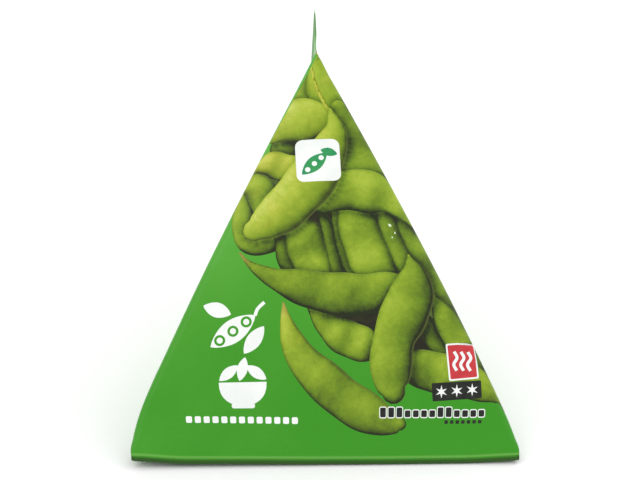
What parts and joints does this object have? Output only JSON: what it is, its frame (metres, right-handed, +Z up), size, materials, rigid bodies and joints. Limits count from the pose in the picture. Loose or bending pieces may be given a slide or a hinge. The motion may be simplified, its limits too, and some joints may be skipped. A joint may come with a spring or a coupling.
{
  "type": "tetrahedral food pouch",
  "caption": "Four-sided film pouch standing on one face, sealed along two edges at right angles, holding loose green soybean pods.",
  "frame": {"origin": "on the supporting surface, below the middle of the pouch's bounding box", "axes": "+Z up, the front face with its tucked seal towards -Y, the seal down the back edge towards +Y"},
  "size_m": [0.1424, 0.1712, 0.1396],
  "materials": {
    "printed_film": "satin laminate film, green ground with a printed picture of pods on the front",
    "pod_skin": "boiled green soybean pod, slightly downy and moist"
  },
  "bodies": {
    "root": {"film_pouch": "printed_film", "pod_01": "pod_skin", "pod_02": "pod_skin", "pod_03": "pod_skin", "pod_04": "pod_skin", "pod_05": "pod_skin", "pod_06": "pod_skin", "pod_07": "pod_skin", "pod_08": "pod_skin", "pod_09": "pod_skin", "pod_10": "pod_skin", "pod_11": "pod_skin", "pod_12": "pod_skin", "pod_13": "pod_skin", "pod_14": "pod_skin", "pod_15": "pod_skin", "pod_16": "pod_skin", "pod_17": "pod_skin", "pod_18": "pod_skin", "pod_19": "pod_skin", "pod_20": "pod_skin", "pod_21": "pod_skin", "pod_22": "pod_skin", "pod_23": "pod_skin", "pod_24": "pod_skin", "pod_25": "pod_skin"}
  },
  "joints": []
}
